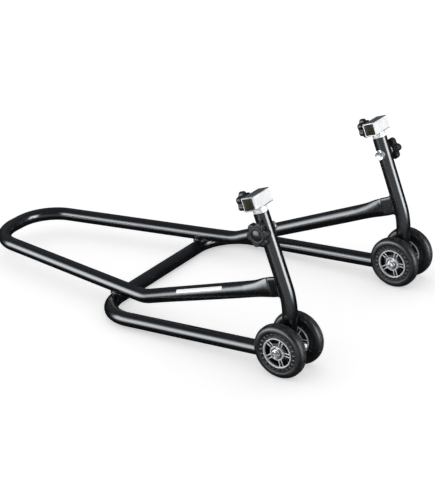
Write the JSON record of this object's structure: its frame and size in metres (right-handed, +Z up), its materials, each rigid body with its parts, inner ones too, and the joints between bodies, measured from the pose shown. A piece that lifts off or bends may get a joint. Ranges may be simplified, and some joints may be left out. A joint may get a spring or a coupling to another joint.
{
  "type": "paddock stand",
  "caption": "Rear paddock stand: U-shaped tubular frame on paired castor wheels, with two height-adjustable posts that carry square receivers for swingarm pads.",
  "frame": {"origin": "on the floor, under the middle of the part's bounding box", "axes": "+X from the handle towards the wheels, +Z up, +Y to the user's left when standing at the handle"},
  "size_m": [0.8716, 0.508, 0.3247],
  "materials": {
    "black_enamel": "gloss black enamel",
    "bright_zinc": "bright plated steel",
    "bolt_zinc": "bright zinc plated",
    "bearing_steel": "ground bearing steel",
    "ball_steel": "polished",
    "seal_rubber": "matt",
    "polyurethane": "dark satin polyurethane",
    "hub_silver": "silver-grey moulded core",
    "knob_plastic": "black moulded",
    "cap_plastic": "black"
  },
  "bodies": {
    "frame": {"main_tube": "black_enamel", "lower_tube": "black_enamel", "right_upright": "black_enamel", "left_upright": "black_enamel", "axle_sleeves": "black_enamel", "axle_bolts": "bolt_zinc", "axle_locknuts": "bolt_zinc", "axle_washers": "bolt_zinc", "bearing_inner_rings": "bearing_steel", "bearing_spacers": "bearing_steel", "lock_bolts": "bolt_zinc", "lock_bolt_washers": "bolt_zinc", "lock_knob_washers": "bolt_zinc"},
    "right_outer_wheel": {"right_outer_tyre": "polyurethane", "right_outer_hub": "hub_silver", "right_outer_bearing_rings": "bearing_steel", "right_outer_balls": "ball_steel", "right_outer_shields": "seal_rubber"},
    "right_inner_wheel": {"right_inner_tyre": "polyurethane", "right_inner_hub": "hub_silver", "right_inner_bearing_rings": "bearing_steel", "right_inner_balls": "ball_steel", "right_inner_shields": "seal_rubber"},
    "left_inner_wheel": {"left_inner_tyre": "polyurethane", "left_inner_hub": "hub_silver", "left_inner_bearing_rings": "bearing_steel", "left_inner_balls": "ball_steel", "left_inner_shields": "seal_rubber"},
    "left_outer_wheel": {"left_outer_tyre": "polyurethane", "left_outer_hub": "hub_silver", "left_outer_bearing_rings": "bearing_steel", "left_outer_balls": "ball_steel", "left_outer_shields": "seal_rubber"},
    "right_post_unit": {"right_post": "bright_zinc", "right_collar": "bright_zinc", "right_receiver": "bright_zinc", "right_clamp_nut": "bright_zinc"},
    "right_lock_thread_unit": {"right_lock_insert": "bearing_steel"},
    "right_lock_knob_unit": {"right_lock_knob": "knob_plastic", "right_lock_cap": "cap_plastic"},
    "right_clamp_stud_unit": {"right_clamp_stud": "bolt_zinc"},
    "right_clamp_knob_unit": {"right_clamp_knob": "knob_plastic", "right_clamp_cap": "cap_plastic"},
    "left_post_unit": {"left_post": "bright_zinc", "left_collar": "bright_zinc", "left_receiver": "bright_zinc", "left_clamp_nut": "bright_zinc"},
    "left_lock_thread_unit": {"left_lock_insert": "bearing_steel"},
    "left_lock_knob_unit": {"left_lock_knob": "knob_plastic", "left_lock_cap": "cap_plastic"},
    "left_clamp_stud_unit": {"left_clamp_stud": "bolt_zinc"},
    "left_clamp_knob_unit": {"left_clamp_knob": "knob_plastic", "left_clamp_cap": "cap_plastic"}
  },
  "joints": [
    {"name": "right_outer_wheel_spin", "type": "hinge", "parent": "frame", "child": "right_outer_wheel", "pos_m": [0.3858, -0.235, 0.05], "axis": [0, 1, 0], "continuous": true},
    {"name": "right_inner_wheel_spin", "type": "hinge", "parent": "frame", "child": "right_inner_wheel", "pos_m": [0.3858, -0.177, 0.05], "axis": [0, 1, 0], "continuous": true},
    {"name": "left_inner_wheel_spin", "type": "hinge", "parent": "frame", "child": "left_inner_wheel", "pos_m": [0.3858, 0.177, 0.05], "axis": [0, 1, 0], "continuous": true},
    {"name": "left_outer_wheel_spin", "type": "hinge", "parent": "frame", "child": "left_outer_wheel", "pos_m": [0.3858, 0.235, 0.05], "axis": [0, 1, 0], "continuous": true},
    {"name": "right_post_height", "type": "slide", "parent": "frame", "child": "right_post_unit", "axis": [-0.3054, 0, 0.9522], "range_m": [0, 0.03]},
    {"name": "right_lock_travel", "type": "slide", "parent": "frame", "child": "right_lock_thread_unit", "axis": [0, -1, 0], "range_m": [0, 0.006]},
    {"name": "right_lock_turn", "type": "hinge", "parent": "right_lock_thread_unit", "child": "right_lock_knob_unit", "pos_m": [0.35092, -0.206, 0.258], "axis": [0, -1, 0], "range_deg": [0, 1440]},
    {"name": "right_clamp_travel", "type": "slide", "parent": "right_post_unit", "child": "right_clamp_stud_unit", "axis": [-0.9522, 0, -0.3054], "range_m": [-0.001, 0.005]},
    {"name": "right_clamp_turn", "type": "hinge", "parent": "right_clamp_stud_unit", "child": "right_clamp_knob_unit", "pos_m": [0.33458, -0.206, 0.30895], "axis": [-0.9522, 0, -0.3054], "range_deg": [-288, 1440]},
    {"name": "left_post_height", "type": "slide", "parent": "frame", "child": "left_post_unit", "axis": [-0.3054, 0, 0.9522], "range_m": [0, 0.03]},
    {"name": "left_lock_travel", "type": "slide", "parent": "frame", "child": "left_lock_thread_unit", "axis": [0, 1, 0], "range_m": [0, 0.006]},
    {"name": "left_lock_turn", "type": "hinge", "parent": "left_lock_thread_unit", "child": "left_lock_knob_unit", "pos_m": [0.35092, 0.206, 0.258], "axis": [0, 1, 0], "range_deg": [0, 1440]},
    {"name": "left_clamp_travel", "type": "slide", "parent": "left_post_unit", "child": "left_clamp_stud_unit", "axis": [-0.9522, 0, -0.3054], "range_m": [-0.001, 0.005]},
    {"name": "left_clamp_turn", "type": "hinge", "parent": "left_clamp_stud_unit", "child": "left_clamp_knob_unit", "pos_m": [0.33458, 0.206, 0.30895], "axis": [-0.9522, 0, -0.3054], "range_deg": [-288, 1440]}
  ],
  "couplings": [
    {"joint": "right_lock_turn", "follows": "right_lock_travel", "rad_per_m": 4188.8},
    {"joint": "right_clamp_turn", "follows": "right_clamp_travel", "rad_per_m": 5026.5},
    {"joint": "left_lock_turn", "follows": "left_lock_travel", "rad_per_m": 4188.8},
    {"joint": "left_clamp_turn", "follows": "left_clamp_travel", "rad_per_m": 5026.5}
  ]
}
